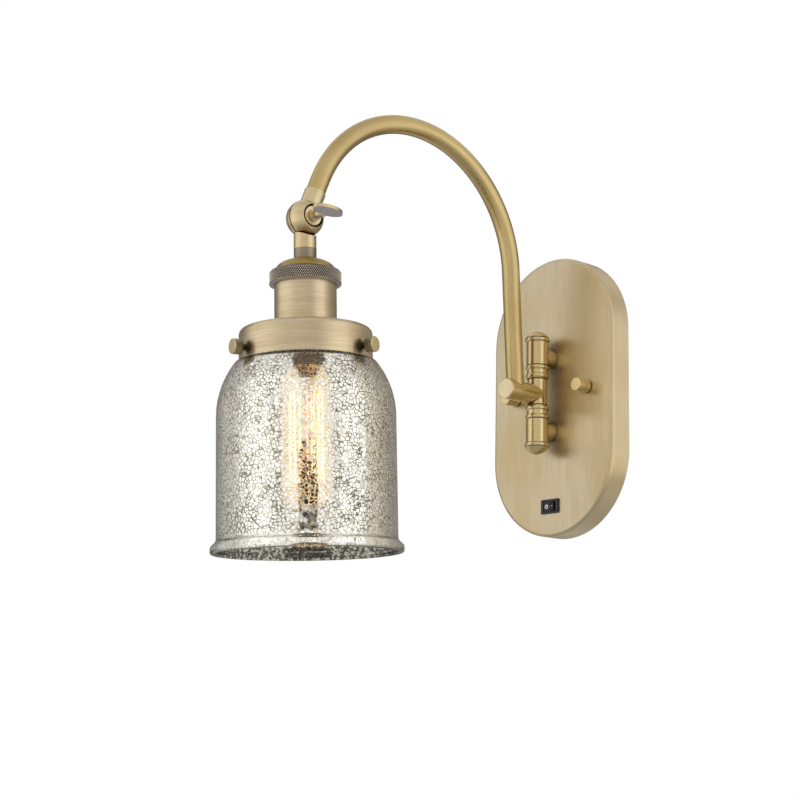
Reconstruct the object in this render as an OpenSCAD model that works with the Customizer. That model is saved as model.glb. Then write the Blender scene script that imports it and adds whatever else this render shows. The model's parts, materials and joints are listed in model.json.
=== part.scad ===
// Swing arm wall lamp: wall plate, knuckle hinge, bent arm, ball swivel, fitter and glass bell.
// Origin on the wall behind the middle of the plate, room towards -Y, up towards +Z.

/* [Wall plate] */
// Width of the plate
plate_w = 117.3; // [100:0.1:140]
// Height of the plate
plate_h = 203.2; // [180:0.1:240]
// Depth of the plate from the wall to its face
plate_d = 17.5; // [15:0.1:25]
// Sheet thickness of the plate
plate_wall = 1.2; // [0.8:0.1:2]
// Radius of the rounded edge round the face
plate_round = 2.6; // [2.2:0.1:5]

/* [Bracket and knobs] */
// Distance between the two knobs
knob_spacing = 70; // [60:0.5:75]
// Height of the knobs above the middle of the plate
knob_rise = 1.5; // [0:0.1:3]
// Diameter of a knob
knob_dia = 9.5; // [8:0.1:12]
// Length of a knob in front of the plate
knob_len = 11.6; // [9:0.1:16]
// Diameter of the screws that hold the plate
stud_dia = 4; // [3:0.1:5]
// Thickness of the bracket strap
strap_t = 1.6; // [1.2:0.1:2]
// Width of the bracket strap
strap_w = 22; // [18:0.5:26]
// Height of the strap's raised middle above the wall
strap_rise = 6; // [5:0.1:8]
// Distance between the two box slots
slot_spacing = 88.9; // [86:0.1:92]
// Length of a box slot
slot_len = 7.2; // [6:0.1:8]
// Width of a box slot
slot_w = 4.6; // [4:0.1:5]

/* [Hinge] */
// Distance of the hinge axis from the plate's face
hinge_out = 13.8; // [12:0.1:20]
// Diameter of the hinge pin
pin_dia = 8; // [6:0.1:9]
// Diameter of the knuckle bodies
knuckle_dia = 15.9; // [14:0.1:18]
// Diameter of the beads round a knuckle
bead_dia = 17; // [16:0.1:20]
// Diameter of the ridge under a finial
ridge_dia = 17.9; // [17:0.1:22]
// Diameter of the middle tee
tee_dia = 14.2; // [12.5:0.1:16]
// Height of the middle tee
tee_h = 18; // [16:0.1:22]
// Height of the two posts above and below the middle
post_z = 26.7; // [25:0.1:30]
// Diameter of a post
post_dia = 13.5; // [11:0.1:15]
// Diameter of the threaded end of a post
post_thread = 9.6; // [8:0.1:10]
// Drop of the barrel below the middle of the tee
barrel_drop = 1.8; // [0:0.1:1.8]
// Length of the barrel from the hinge axis to its end
barrel_len = 31.7; // [30.5:0.1:40]
// Diameter of the barrel
barrel_dia = 14.3; // [13.6:0.1:14.4]

/* [Arm] */
// Diameter of the arm tube
tube_dia = 12.7; // [11:0.1:13.5]
// Wall of the arm tube
tube_wall = 1; // [0.8:0.1:1.6]
// Distance from the hinge axis to the foot of the arm
foot_out = 21.65; // [20:0.05:26]
// Lean of the arm's upright part, away from the wall
arm_lean = 3.7; // [0:0.1:5]
// Length of the upright part from the barrel's middle
upright_len = 86.2; // [70:0.1:120]
// Radius of the bend
bend_r = 89.2; // [80:0.1:110]
// Angle of the outer end from the vertical
end_angle = 21.2; // [10:0.1:30]
// Distance from the bend's end to the middle of the ball
tail_len = 31.9; // [29:0.1:45]

/* [Ball swivel] */
// Diameter of the ball
ball_dia = 24.2; // [23:0.1:28]
// Diameter of the ferrule over the tube's end
ferrule_dia = 13.9; // [13.8:0.1:15]
// Length of the ferrule from the middle of the ball
ferrule_len = 20.5; // [18:0.1:28]
// Diameter of the swivel's stud
screw_dia = 4.6; // [4:0.1:5.6]
// Length of the wing nut's paddle
paddle_l = 22; // [18:0.1:28]
// Width of the wing nut's paddle
paddle_w = 11; // [9:0.1:13]
// Thickness of the wing nut's paddle
paddle_t = 2.2; // [2:0.1:3.4]
// Lean of the head towards the wall as it hangs at rest
head_lean = 3; // [0:0.1:10]

/* [Socket] */
// Diameter of the neck and its ring
neck_dia = 14.5; // [13.8:0.1:16]
// Length of the neck below the middle of the ball
neck_len = 20.4; // [18:0.1:24]
// Height of the ring under the neck
ring_h = 6.1; // [4:0.1:8]
// Diameter of the socket cup
cup_dia = 39.6; // [38:0.1:42]
// Wall of the socket cup
cup_wall = 1; // [0.8:0.1:1.4]
// Height of the dome over the cup
dome_h = 8; // [7:0.1:12]
// Diameter of the knurled ring
knurl_dia = 46; // [44:0.1:50]
// Height of the knurled ring
knurl_h = 10.6; // [9:0.1:14]
// Height of the cup that shows between the knurled ring and the collar
cup_show = 28.2; // [20:0.1:40]

/* [Collar and shade] */
// Diameter of the fitter collar
collar_dia = 84.4; // [82:0.1:90]
// Height of the fitter collar
collar_h = 21; // [18:0.1:26]
// Sheet thickness of the collar
collar_wall = 1.2; // [0.8:0.1:1.6]
// Radius of the collar's shoulder
collar_round = 3.6; // [2.5:0.1:6]
// Diameter of a thumbscrew's head
thumb_dia = 9.8; // [8:0.1:11]
// Reach of a thumbscrew from the axis of the head
thumb_reach = 51.2; // [50:0.1:58]
// Direction of the first thumbscrew, seen from above
thumb_turn = 20; // [0:1:119]
// Diameter of the glass bell
bell_dia = 112.6; // [105:0.1:114]
// Height of the glass bell below the collar
bell_h = 120.1; // [100:0.1:150]
// Diameter of the bell's rim
rim_dia = 120; // [119:0.1:130]
// Thickness of the glass
glass_t = 2.8; // [2:0.1:4]

/* [Lamp bulb] */
// Diameter of the bulb
bulb_dia = 31.8; // [28:0.1:36]
// Length of the bulb's glass
bulb_len = 90; // [80:0.5:110]
// Diameter of the screw cap
cap_dia = 26; // [25.5:0.1:26.6]
// Number of filament legs
legs = 10; // [6:2:14]

/* [Switch] */
// Width of the switch's bezel
bezel_w = 16.5; // [15:0.1:20]
// Height of the switch's bezel
bezel_h = 10; // [9:0.1:12]
// Distance of the switch below the middle of the plate
switch_drop = 80.2; // [70:0.1:82]
// Angle of the rocker on either side of level
rock = 8; // [5:0.5:9]

/* [Hidden] */
$fn = 64;

brass = "#b8a47c";
bronze = "#7d7162";
steel = "#b9bcc0";
black = "#232426";
run = 0.05;        // radial clearance of a shaft or thread in its hole
seat = 0.1;        // gap between flat faces that turn past each other
air = 0.35;        // gap between curved faces of two bodies
past = 1;          // how far a cut runs past a face

// Hinge and barrel
hinge_y = -(plate_d + hinge_out);
washer_t = 0.5;
knuckle_z0 = tee_h / 2 + washer_t + 2 * seat;
bead_h = 3.9;
bead_gap = 2.3;
body_z0 = knuckle_z0 + 2 * bead_h + bead_gap;
body_z1 = post_z + post_dia / 2 + 3;
ridge_h = 3.3;
dome_rise = 4.9;
pin_half = body_z1 + ridge_h;
barrel_bore = barrel_dia - 4.3;
barrel_cap_t = 1.6;

// Arm path in the plane of the arm, as [y, z]
foot = [hinge_y - foot_out, -barrel_drop];
bend_start = foot + upright_len * [-sin(arm_lean), cos(arm_lean)];
bend_mid = bend_start - bend_r * [cos(arm_lean), sin(arm_lean)];
bend_end = bend_mid + bend_r * [-cos(end_angle), sin(end_angle)];
ball = bend_end - tail_len * [sin(end_angle), cos(end_angle)];
ball_r = ball_dia / 2;
tube_in = ball_r + 3;   // where the tube's end stops inside the ferrule

// Swivel, measured along the stud from the middle of the ball
split = 1;         // width of the slot between the two halves
recess_r = 7.75;
recess_x = 6.4;
bushing_r = 6.5;
bushing_t = 3;
stud_tip = 8;
flange_t = 1.8;
flange_r = 3.9;
shank_r = 3.2;
paddle_x = recess_x + bushing_t + flange_t + 12.8;
stud_end = paddle_x - paddle_w / 2 - 2;

// Head, measured down its axis from the middle of the ball
ring_s = neck_len + seat;
dome_s = ring_s + ring_h;
dome_base_s = dome_s + dome_h;
knurl_s = dome_base_s - 0.4;
cup_s = knurl_s + 4;
collar_s = knurl_s + knurl_h + cup_show;
collar_end_s = collar_s + collar_h;
cup_end_s = collar_s + 8;
dome_skirt = 3.4;
nipple_r = 5;
nipple_bore_r = 3.6;
nipple_s0 = neck_len - 5;
nipple_s1 = dome_s + 6.2;
thumb_s = collar_end_s - 6.2;
thumb_r = thumb_dia / 2;
thumb_thread_r = 2;
lip_h = 3.6;
lip_r = collar_dia / 2 - collar_wall - 0.5;
glass_neck_r = lip_r - 1.2;
glass_s = thumb_s - thumb_thread_r - 0.3 - lip_h;
ledge_s = collar_end_s + 0.4;
ledge_r = glass_neck_r + 4.2;
ledge_edge = 2;
bell_r = bell_dia / 2;
bow_r = 0.8;       // the shoulder's arc is centred this far off the axis
bell_bow = bell_r - bow_r;
bell_mid_s = ledge_s + ledge_edge + sqrt(pow(bell_bow - ledge_edge, 2) - pow(ledge_r - bow_r, 2));
rim_s = collar_end_s + bell_h;
rim_h = 9.6;
holder_r = cup_dia / 2 - cup_wall - 1.8;
holder_s = nipple_s1 + seat;
holder_end_s = collar_end_s + 0.5;
shell_t = 0.5;
contact_h = 2;
cap_r = cap_dia / 2;
cap_wall = 0.8;
cap_s = holder_end_s - cap_dia + 3;
cap_end_s = cap_s + cap_dia;
floor_s = cap_s - contact_h - 5;   // floor of the lampholder's bore
bulb_r = bulb_dia / 2;
bulb_t = 0.8;
bulb_neck_r = cap_r - cap_wall - run;
bulb_s = cap_end_s - 6;
cage_s0 = cap_end_s + bulb_len * 2 / 9;
cage_s1 = cage_s0 + bulb_len * 8 / 15;
cage_r = bulb_r - 5.5;
leg_r = 0.3;

// Bracket, measured out from the wall
strap_gap = 0.5;   // between the strap's ends and the plate
head_h = 2.2;
head_over = 1.6;   // how far a stud's head reaches past its thread
lead_hole_r = 5.2;
ground_x = 17;
ground_r = 1.7;
ground_head_h = 2.1;
post_wall = 1.8;
hex_post = 16;     // across the corners of the nut on a post
hex_nipple = 14;

// Switch, measured out from the wall
bezel_t = 1.3;
body_depth = 11;
trunnion_l = 0.6;
pivot_out = plate_d + bezel_t - 1.5;
rocker_w = 10.4;
rocker_h = 6.4;
pocket_depth = 3.4;
trunnion_r = 0.8;
body_w = bezel_w - 2.7;
body_h = bezel_h - 1.2;

// Points along an arc round c, from angle a0 to a1 in n steps
function arc(c, r, a0, a1, n) =
    [for (i = [0 : n]) let (a = a0 + (a1 - a0) * i / n) c + r * [cos(a), sin(a)]];

// Local x, y, z become sideways, up and out from the wall
module on_wall() { rotate([90, 0, 0]) children(); }

// Local z becomes the hinge axis
module on_hinge() { translate([0, hinge_y, 0]) children(); }

// Local z becomes the axis of the barrel, pointing away from the wall
module on_barrel() { translate([0, hinge_y, -barrel_drop]) rotate([90, 0, 0]) children(); }

// Local z points up the ferrule from the middle of the ball
module on_ball() { translate([0, ball[0], ball[1]]) rotate([-end_angle, 0, 0]) children(); }

// Local z points up the neck from the middle of the ball
module on_head() { translate([0, ball[0], ball[1]]) rotate([head_lean, 0, 0]) children(); }

// A turned piece of the head, its outline given as [radius, distance down the axis]
module turned(points) { rotate_extrude() polygon([for (p = points) [p[0], -p[1]]]); }

// Cylinder along x between two places
module rod_x(r, x0, x1) { translate([x0, 0, 0]) rotate([0, 90, 0]) cylinder(r = r, h = x1 - x0); }

module washer(r_out, r_in, h) {
    difference() {
        cylinder(r = r_out, h = h);
        translate([0, 0, -past]) cylinder(r = r_in, h = h + 2 * past);
    }
}

// Half of the outline across the plate, with its rounded front edge
module plate_half(w, d, edge) {
    square([w / 2 - edge, d]);
    square([w / 2, d - edge]);
    translate([w / 2 - edge, d - edge]) circle(edge);
}

// Solid of the plate's form, w wide, h high and d deep
module plate_form(w, h, d, edge) {
    straight = h - w;
    rotate([90, 0, 0]) linear_extrude(height = straight, center = true) {
        plate_half(w, d, edge);
        mirror([1, 0]) plate_half(w, d, edge);
    }
    for (s = [-1, 1])
        translate([0, s * straight / 2, 0]) rotate([0, 0, s > 0 ? 0 : 180])
            rotate_extrude(angle = 180) intersection() {
                plate_half(w, d, edge);
                square([w, d]);
            }
}

module backplate() {
    color(brass) on_wall() difference() {
        plate_form(plate_w, plate_h, plate_d, plate_round);
        translate([0, 0, -past]) plate_form(plate_w - 2 * plate_wall, plate_h - 2 * plate_wall,
            plate_d - plate_wall + past, plate_round - plate_wall);
        for (s = [-1, 1]) {
            translate([s * knob_spacing / 2, knob_rise, 0])
                cylinder(r = stud_dia / 2 + 0.6, h = plate_d + past);
            translate([0, s * post_z, 0]) cylinder(r = post_thread / 2 + 2 * run, h = plate_d + past);
        }
        translate([-body_w / 2 - seat, -switch_drop - body_h / 2 - seat, 0])
            cube([body_w + 2 * seat, body_h + 2 * seat, plate_d + past]);
    }
}

// Hat-shaped steel strap that is screwed to the wall box and carries the plate
module mounting_bracket() {
    middle = knob_spacing / 2 + stud_dia;
    end = plate_w / 2 - plate_wall - strap_gap;
    foot_w = end - middle;
    color(steel) on_wall() difference() {
        union() {
            translate([-middle - strap_t, -strap_w / 2, strap_rise - strap_t])
                cube([2 * (middle + strap_t), strap_w, strap_t]);
            for (s = [0, 1]) mirror([s, 0, 0]) {
                translate([middle, -strap_w / 2, 0]) cube([strap_t, strap_w, strap_rise]);
                translate([middle, -strap_w / 2, 0]) cube([foot_w, strap_w, strap_t]);
            }
        }
        for (s = [-1, 1]) {
            translate([s * knob_spacing / 2, knob_rise, -past])
                cylinder(r = stud_dia / 2 + run, h = strap_rise + 2 * past);
            translate([s * slot_spacing / 2, 0, -past]) linear_extrude(height = strap_t + 2 * past) {
                square([slot_len - slot_w, slot_w], center = true);
                for (e = [-1, 1]) translate([e * (slot_len - slot_w) / 2, 0]) circle(slot_w / 2);
            }
        }
        translate([0, 0, -past]) cylinder(r = lead_hole_r, h = strap_rise + 2 * past);
        translate([ground_x, 0, -past]) cylinder(r = ground_r + run, h = strap_rise + 2 * past);
    }
}

// Two machine screws whose heads sit under the strap
module mounting_studs() {
    foot = strap_rise - strap_t - head_h;
    tip = plate_d + knob_len - 3;
    color(steel) on_wall() for (s = [-1, 1]) translate([s * knob_spacing / 2, knob_rise, foot]) {
        cylinder(r = stud_dia / 2 + head_over, h = head_h);
        cylinder(r = stud_dia / 2, h = tip - foot);
    }
}

module ground_screw() {
    head_r = ground_r + 2.2;
    slot = [0.8, 1];
    color("#4f7a45") on_wall() translate([ground_x, 0, strap_rise]) {
        translate([0, 0, -strap_t - 2]) cylinder(r = ground_r, h = strap_t + 2);
        difference() {
            cylinder(r = head_r, h = ground_head_h);
            translate([-head_r - past, -slot[0] / 2, ground_head_h - slot[1]])
                cube([2 * (head_r + past), slot[0], slot[1] + past]);
        }
    }
}

// Knuckle with two beads, a post to the plate and a threaded end behind it
module knuckle() {
    neck_r = bead_dia / 2 - 1;
    reach = plate_d - plate_wall - 6;
    difference() {
        union() {
            on_hinge() rotate_extrude() {
                for (i = [0, 1]) translate([0, knuckle_z0 + i * (bead_h + bead_gap)]) {
                    square([bead_dia / 2 - bead_h / 2, bead_h]);
                    intersection() {
                        translate([bead_dia / 2 - bead_h / 2, bead_h / 2]) circle(bead_h / 2);
                        square([bead_dia, bead_h]);
                    }
                }
                translate([0, knuckle_z0]) square([neck_r, body_z0 - knuckle_z0]);
                translate([0, body_z0]) square([knuckle_dia / 2, body_z1 - body_z0]);
            }
            translate([0, 0, post_z]) rotate([90, 0, 0]) {
                translate([0, 0, plate_d]) cylinder(r = post_dia / 2, h = hinge_out);
                translate([0, 0, reach]) cylinder(r = post_thread / 2, h = plate_d - reach + 2);
            }
        }
        on_hinge() translate([0, 0, knuckle_z0 - past])
            cylinder(r = pin_dia / 2 + run, h = body_z1 - knuckle_z0 + 2 * past);
        translate([0, 0, post_z]) rotate([90, 0, 0]) translate([0, 0, reach - past])
            cylinder(r = post_thread / 2 - post_wall, h = plate_d + hinge_out - reach);
    }
}

module upper_knuckle() { color(brass) knuckle(); }
module lower_knuckle() { color(brass) mirror([0, 0, 1]) knuckle(); }

// Domed nut on the end of the hinge pin
module finial() {
    base_r = ridge_dia / 2 - 0.5;
    dome_r = (pow(base_r, 2) + pow(dome_rise, 2)) / (2 * dome_rise);
    half = asin(base_r / dome_r);
    on_hinge() difference() {
        rotate_extrude() {
            translate([0, body_z1]) square([ridge_dia / 2 - ridge_h / 2, ridge_h]);
            translate([ridge_dia / 2 - ridge_h / 2, body_z1 + ridge_h / 2]) circle(ridge_h / 2);
            polygon(concat([[0, body_z1 + ridge_h]],
                arc([0, body_z1 + ridge_h + dome_rise - dome_r], dome_r, 90 - half, 90, 12)));
        }
        translate([0, 0, body_z1 - past]) cylinder(r = pin_dia / 2 + run, h = ridge_h + past + seat);
    }
}

module upper_finial() { color(brass) finial(); }
module lower_finial() { color(brass) mirror([0, 0, 1]) finial(); }

module hinge_pin() {
    color(steel) on_hinge() translate([0, 0, -pin_half]) cylinder(r = pin_dia / 2, h = 2 * pin_half);
}

module hinge_washers() {
    color(bronze) on_hinge() for (s = [0, 1]) mirror([0, 0, s])
        translate([0, 0, tee_h / 2 + seat]) washer(tee_dia / 2, pin_dia / 2 + 0.2, washer_t);
}

// Hexagon nuts that hold the posts to the plate from behind
module post_nuts() {
    nut_h = 3.2;
    color(steel) on_wall() for (s = [-1, 1]) translate([0, s * post_z, plate_d - plate_wall - nut_h - seat])
        difference() {
            cylinder(d = hex_post, h = nut_h, $fn = 6);
            translate([0, 0, -past]) cylinder(r = post_thread / 2 + run, h = nut_h + 2 * past);
        }
}

module switch_housing() {
    color(black) on_wall() translate([0, -switch_drop, 0]) difference() {
        union() {
            translate([-bezel_w / 2, -bezel_h / 2, plate_d]) cube([bezel_w, bezel_h, bezel_t]);
            translate([-body_w / 2, -body_h / 2, plate_d - body_depth])
                cube([body_w, body_h, body_depth + bezel_t / 2]);
        }
        translate([-rocker_w / 2 - 0.7, -rocker_h / 2 - 0.3, pivot_out - pocket_depth])
            cube([rocker_w + 1.4, rocker_h + 0.6, pocket_depth + bezel_t + 2]);
        translate([0, -rocker_h / 2 - trunnion_l - 0.2, pivot_out]) rotate([-90, 0, 0])
            cylinder(r = trunnion_r + run, h = rocker_h + 2 * (trunnion_l + 0.2));
    }
}

// Two blades behind the switch for the leads
module switch_terminals() {
    blade = [0.8, 4.8, 6.3];
    aside = 4;
    color(steel) on_wall() for (s = [-1, 1]) translate([s * aside - blade[0] / 2,
        -switch_drop - blade[1] / 2, plate_d - body_depth - blade[2]]) difference() {
            cube(blade);
            translate([-past, blade[1] / 2, 2]) rotate([0, 90, 0]) cylinder(r = 0.8, h = blade[0] + 2 * past);
        }
}

// Rocker with a shallow V face, on two trunnions
module switch_rocker() {
    tip = rocker_w / 2;
    back = 2.1;        // depth behind the pivot
    waist = tip - 1.2;
    color(black) translate([0, -pivot_out, -switch_drop]) rotate([0, 0, -rock]) {
        translate([0, 0, -rocker_h / 2]) linear_extrude(height = rocker_h)
            polygon([[-tip, -1.9], [0, -1.2], [tip, -1.9], [tip, 0],
                [waist, back], [-waist, back], [-tip, 0]]);
        translate([0, 0, -rocker_h / 2 - trunnion_l]) cylinder(r = trunnion_r, h = rocker_h + 2 * trunnion_l);
    }
}

// Turned cap nut with a groove at its foot
module knob(side) {
    r = knob_dia / 2;
    foot_h = 0.7;
    edge = 0.4;
    color(brass) on_wall() translate([side * knob_spacing / 2, knob_rise, plate_d + seat]) difference() {
        rotate_extrude() polygon([[0, 0], [r - 0.6, 0], [r - 0.6, foot_h], [r, foot_h],
            [r, knob_len - edge], [r - edge, knob_len], [0, knob_len]]);
        translate([0, 0, -past]) cylinder(r = stud_dia / 2 + run, h = knob_len - 2.5 + past);
    }
}

module knob_left() { knob(-1); }
module knob_right() { knob(1); }

// Tee that turns on the hinge pin, with the barrel that carries the arm
module hinge_tee() {
    color(brass) difference() {
        union() {
            on_hinge() translate([0, 0, -tee_h / 2]) cylinder(r = tee_dia / 2, h = tee_h);
            on_barrel() cylinder(r = barrel_dia / 2, h = barrel_len - barrel_cap_t);
        }
        on_hinge() translate([0, 0, -tee_h / 2 - past]) cylinder(r = pin_dia / 2 + run, h = tee_h + 2 * past);
        on_barrel() translate([0, 0, pin_dia / 2 + 4]) cylinder(r = barrel_bore / 2, h = barrel_len);
        translate([0, foot[0], foot[1]]) rotate([arm_lean, 0, 0])
            cylinder(r = tube_dia / 2 - tube_wall - run, h = barrel_dia);
    }
}

module barrel_cap() {
    edge = 0.5;
    r = barrel_dia / 2;
    color(brass) on_barrel() translate([0, 0, barrel_len - barrel_cap_t]) {
        rotate_extrude() polygon([[0, 0], [r, 0], [r, barrel_cap_t - edge],
            [r - edge, barrel_cap_t], [0, barrel_cap_t]]);
        translate([0, 0, -2]) cylinder(r = barrel_bore / 2 - run, h = 2);
    }
}

// Outline of the arm's pipe, with both skins drawn in by inset
module pipe_ring(inset) {
    difference() {
        circle(tube_dia / 2 - inset);
        circle(tube_dia / 2 - tube_wall + inset);
    }
}

// Bent tube: upright coped over the barrel, bend, and straight end that laps inside the bend's wall
module arm_tube() {
    turn = 180 - arm_lean - end_angle;
    lap = 1;
    hair = 0.02;
    color(brass) translate([0, bend_mid[0], bend_mid[1]]) rotate([90, 0, 90]) rotate([0, 0, arm_lean]) {
        rotate_extrude(angle = turn) translate([bend_r, 0]) pipe_ring(0);
        difference() {
            translate([bend_r, 0, 0]) rotate([90, 0, 0]) linear_extrude(height = upright_len) pipe_ring(0);
            rotate([0, 0, -arm_lean]) translate([hinge_y - bend_mid[0], -barrel_drop - bend_mid[1], 0])
                rotate([0, -90, 0]) cylinder(r = barrel_dia / 2 + run, h = barrel_len + past);
        }
        rotate([0, 0, turn]) translate([bend_r, -lap, 0]) rotate([-90, 0, 0])
            linear_extrude(height = tail_len - tube_in + lap) pipe_ring(hair);
    }
}

// Half of the ball on the +x side, turned about the stud, with its recess
module half_ball(recess) {
    rotate([0, 90, 0]) rotate_extrude() difference() {
        intersection() {
            circle(ball_r);
            translate([screw_dia / 2 + run, split / 2]) square(ball_dia);
        }
        if (recess) translate([0, recess_x]) square([recess_r, ball_dia]);
    }
}

// Half ball on the arm's side, with the ferrule that takes the tube's end
module arm_swivel_half() {
    color(brass) on_ball() {
        half_ball(true);
        difference() {
            translate([0, 0, recess_r + 0.4]) cylinder(r = ferrule_dia / 2, h = ferrule_len - recess_r - 0.4);
            rod_x(ball_r + air, -ball_dia, split / 2);
            translate([0, 0, tube_in - 0.2]) cylinder(r = tube_dia / 2 + run, h = ferrule_len);
        }
    }
}

// Collar ring that the wing nut presses on
module swivel_bushing() {
    lip = 0.5;
    color(brass) on_ball() translate([recess_x, 0, 0]) rotate([0, 90, 0]) difference() {
        rotate_extrude() polygon([[0, 0], [bushing_r, 0], [bushing_r, bushing_t - lip],
            [bushing_r - lip, bushing_t], [0, bushing_t]]);
        translate([0, 0, -past]) cylinder(r = screw_dia / 2 + run, h = bushing_t + 2 * past);
    }
}

// Fibre washer between the two halves of the ball
module swivel_washer() {
    color(black) on_ball() translate([-split / 2 + seat, 0, 0]) rotate([0, 90, 0])
        washer(ball_r - 0.8, screw_dia / 2 + run, split - 2 * seat);
}

// Nut with an oval paddle that locks the swivel
module wing_nut() {
    flange_x = recess_x + bushing_t + seat;
    paddle_tilt = 2;
    paddle_lift = 8;
    color(brass) translate([0, ball[0], ball[1]]) rotate([-paddle_tilt, 0, 0]) difference() {
        union() {
            rod_x(flange_r, flange_x, flange_x + flange_t);
            rod_x(shank_r, flange_x + flange_t, paddle_x - paddle_w / 2 + 1.5);
            translate([paddle_x, 0, 0]) rotate([0, -paddle_lift, 0]) translate([0, 0, -paddle_t / 2])
                linear_extrude(height = paddle_t)
                    polygon([for (i = [0 : 47]) [paddle_w / 2 * cos(i * 7.5), paddle_l / 2 * sin(i * 7.5)]]);
        }
        rod_x(screw_dia / 2 + run, flange_x - past, stud_end + 0.5);
    }
}

// Half ball on the head's side, with the neck
module neck_swivel_half() {
    top = screw_dia / 2 + 2;
    color(brass) on_head() {
        mirror([1, 0, 0]) half_ball(false);
        difference() {
            translate([0, 0, -neck_len]) cylinder(r = neck_dia / 2, h = neck_len - top);
            rod_x(ball_r + air, -split / 2, ball_dia);
            translate([0, 0, -neck_len - past]) cylinder(r = nipple_r + run, h = neck_len - nipple_s0 + past);
        }
    }
}

// Threaded stud that stands in the head's half and passes through the arm's half
module swivel_stud() {
    color(steel) on_head() rod_x(screw_dia / 2, -stud_tip, stud_end);
}

module neck_ring() {
    color(bronze) on_head() translate([0, 0, -ring_s - ring_h])
        washer(neck_dia / 2, nipple_r + run, ring_h);
}

module socket_nipple() {
    nut_h = 3;
    nut_top = dome_s + 2;
    color(steel) on_head() {
        translate([0, 0, -nipple_s1]) washer(nipple_r, nipple_bore_r, nipple_s1 - nipple_s0);
        translate([0, 0, -nut_top - nut_h]) difference() {
            cylinder(d = hex_nipple, h = nut_h, $fn = 6);
            translate([0, 0, -past]) cylinder(r = nipple_r - run, h = nut_h + 2 * past);
        }
    }
}

// Point on the dome's elliptical outline, a inside its outer surface
function dome_point(t, a) = [(cup_dia / 2 - 0.6 - a) * sin(t), dome_base_s - (dome_h - a) * cos(t)];

module socket_dome() {
    wall = 1.2;
    first = 22;
    hole = nipple_r + run;
    outer = [for (i = [0 : 12]) dome_point(first + (90 - first) * i / 12, 0)];
    inner = [for (i = [0 : 12]) dome_point(90 - (90 - first - 2) * i / 12, wall)];
    color(brass) on_head() turned(concat([[hole, dome_s]], [[outer[0][0], dome_s]], outer,
        [[outer[12][0], dome_base_s + dome_skirt], [inner[0][0], dome_base_s + dome_skirt]],
        inner, [[hole, dome_s + wall + 0.6]]));
}

// Threaded ring that clamps dome and cup together, knurled outside
module knurled_ring() {
    r = knurl_dia / 2;
    top = 2.6;
    foot_edge = 1.2;
    end = knurl_s + knurl_h;
    dome_r = cup_dia / 2 - 0.6 + run;
    cup_r = cup_dia / 2 + run;
    corner = arc([r - top, -(knurl_s + top)], top, 90, 0, 8);
    lower = arc([r - foot_edge, -(end - foot_edge)], foot_edge, 0, -90, 5);
    color(bronze) on_head() rotate_extrude() polygon(concat(corner, lower,
        [[cup_r, -end], [cup_r, -cup_s + seat], [dome_r, -cup_s + seat], [dome_r, -knurl_s]]));
}

module socket_cup() {
    color(brass) on_head() translate([0, 0, -cup_end_s])
        washer(cup_dia / 2, cup_dia / 2 - cup_wall, cup_end_s - cup_s);
}

// Insulating body of the lampholder
module lampholder() {
    bore = cap_r + shell_t + 3 * run;
    color(black) on_head() turned([[nipple_bore_r, holder_s], [holder_r - 5, holder_s], [holder_r, cup_s],
        [holder_r, holder_end_s - 3], [holder_r - 0.8, holder_end_s], [bore, holder_end_s],
        [bore, floor_s], [nipple_bore_r, floor_s]]);
}

// Threaded brass liner that takes the bulb's cap
module screw_shell() {
    color(brass) on_head() translate([0, 0, -holder_end_s + 1.5])
        washer(cap_r + shell_t + run, cap_r + run, holder_end_s - 1.5 - cap_s + 4);
}

// Springy tongue under the bulb's contact
module centre_contact() {
    tongue = [5, 20, 0.6];
    contact_s = cap_s - contact_h - tongue[2];
    color(brass) on_head() {
        translate([-tongue[0] / 2, -tongue[1] / 2, -contact_s - tongue[2]]) cube(tongue);
        translate([-tongue[0] / 2, tongue[1] / 2 - tongue[2], -contact_s])
            cube([tongue[0], tongue[2], contact_s - floor_s]);
    }
}

// Spun collar over the neck of the glass
module fitter_collar() {
    r = collar_dia / 2;
    hole = cup_dia / 2 + 0.1;
    in_r = r - collar_wall;
    in_round = collar_round - collar_wall;
    outer = arc([r - collar_round, -(collar_s + collar_round)], collar_round, 90, 0, 8);
    inner = arc([in_r - in_round, -(collar_s + collar_wall + in_round)], in_round, 0, 90, 8);
    color(brass) on_head() difference() {
        rotate_extrude() polygon(concat([[hole, -collar_s]], outer,
            [[r, -collar_end_s], [in_r, -collar_end_s]], inner, [[hole, -collar_s - collar_wall]]));
        for (i = [0 : 2]) rotate([0, 0, thumb_turn + 120 * i]) translate([0, 0, -thumb_s])
            rod_x(thumb_thread_r + run, in_r - 3, r + 3);
    }
}

// Notched ring that holds the collar on the cup
module retaining_ring() {
    h = 3.6;
    r_out = cup_dia / 2 + 4.5;
    notch = 4;
    notch_in = 1.6;
    color(steel) on_head() translate([0, 0, -collar_s - collar_wall - seat - h]) difference() {
        washer(r_out, cup_dia / 2 + run, h);
        for (i = [0 : 3]) rotate([0, 0, 90 * i]) translate([r_out - notch_in, -notch / 2, -past])
            cube([notch, notch, h + 2 * past]);
    }
}

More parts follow.
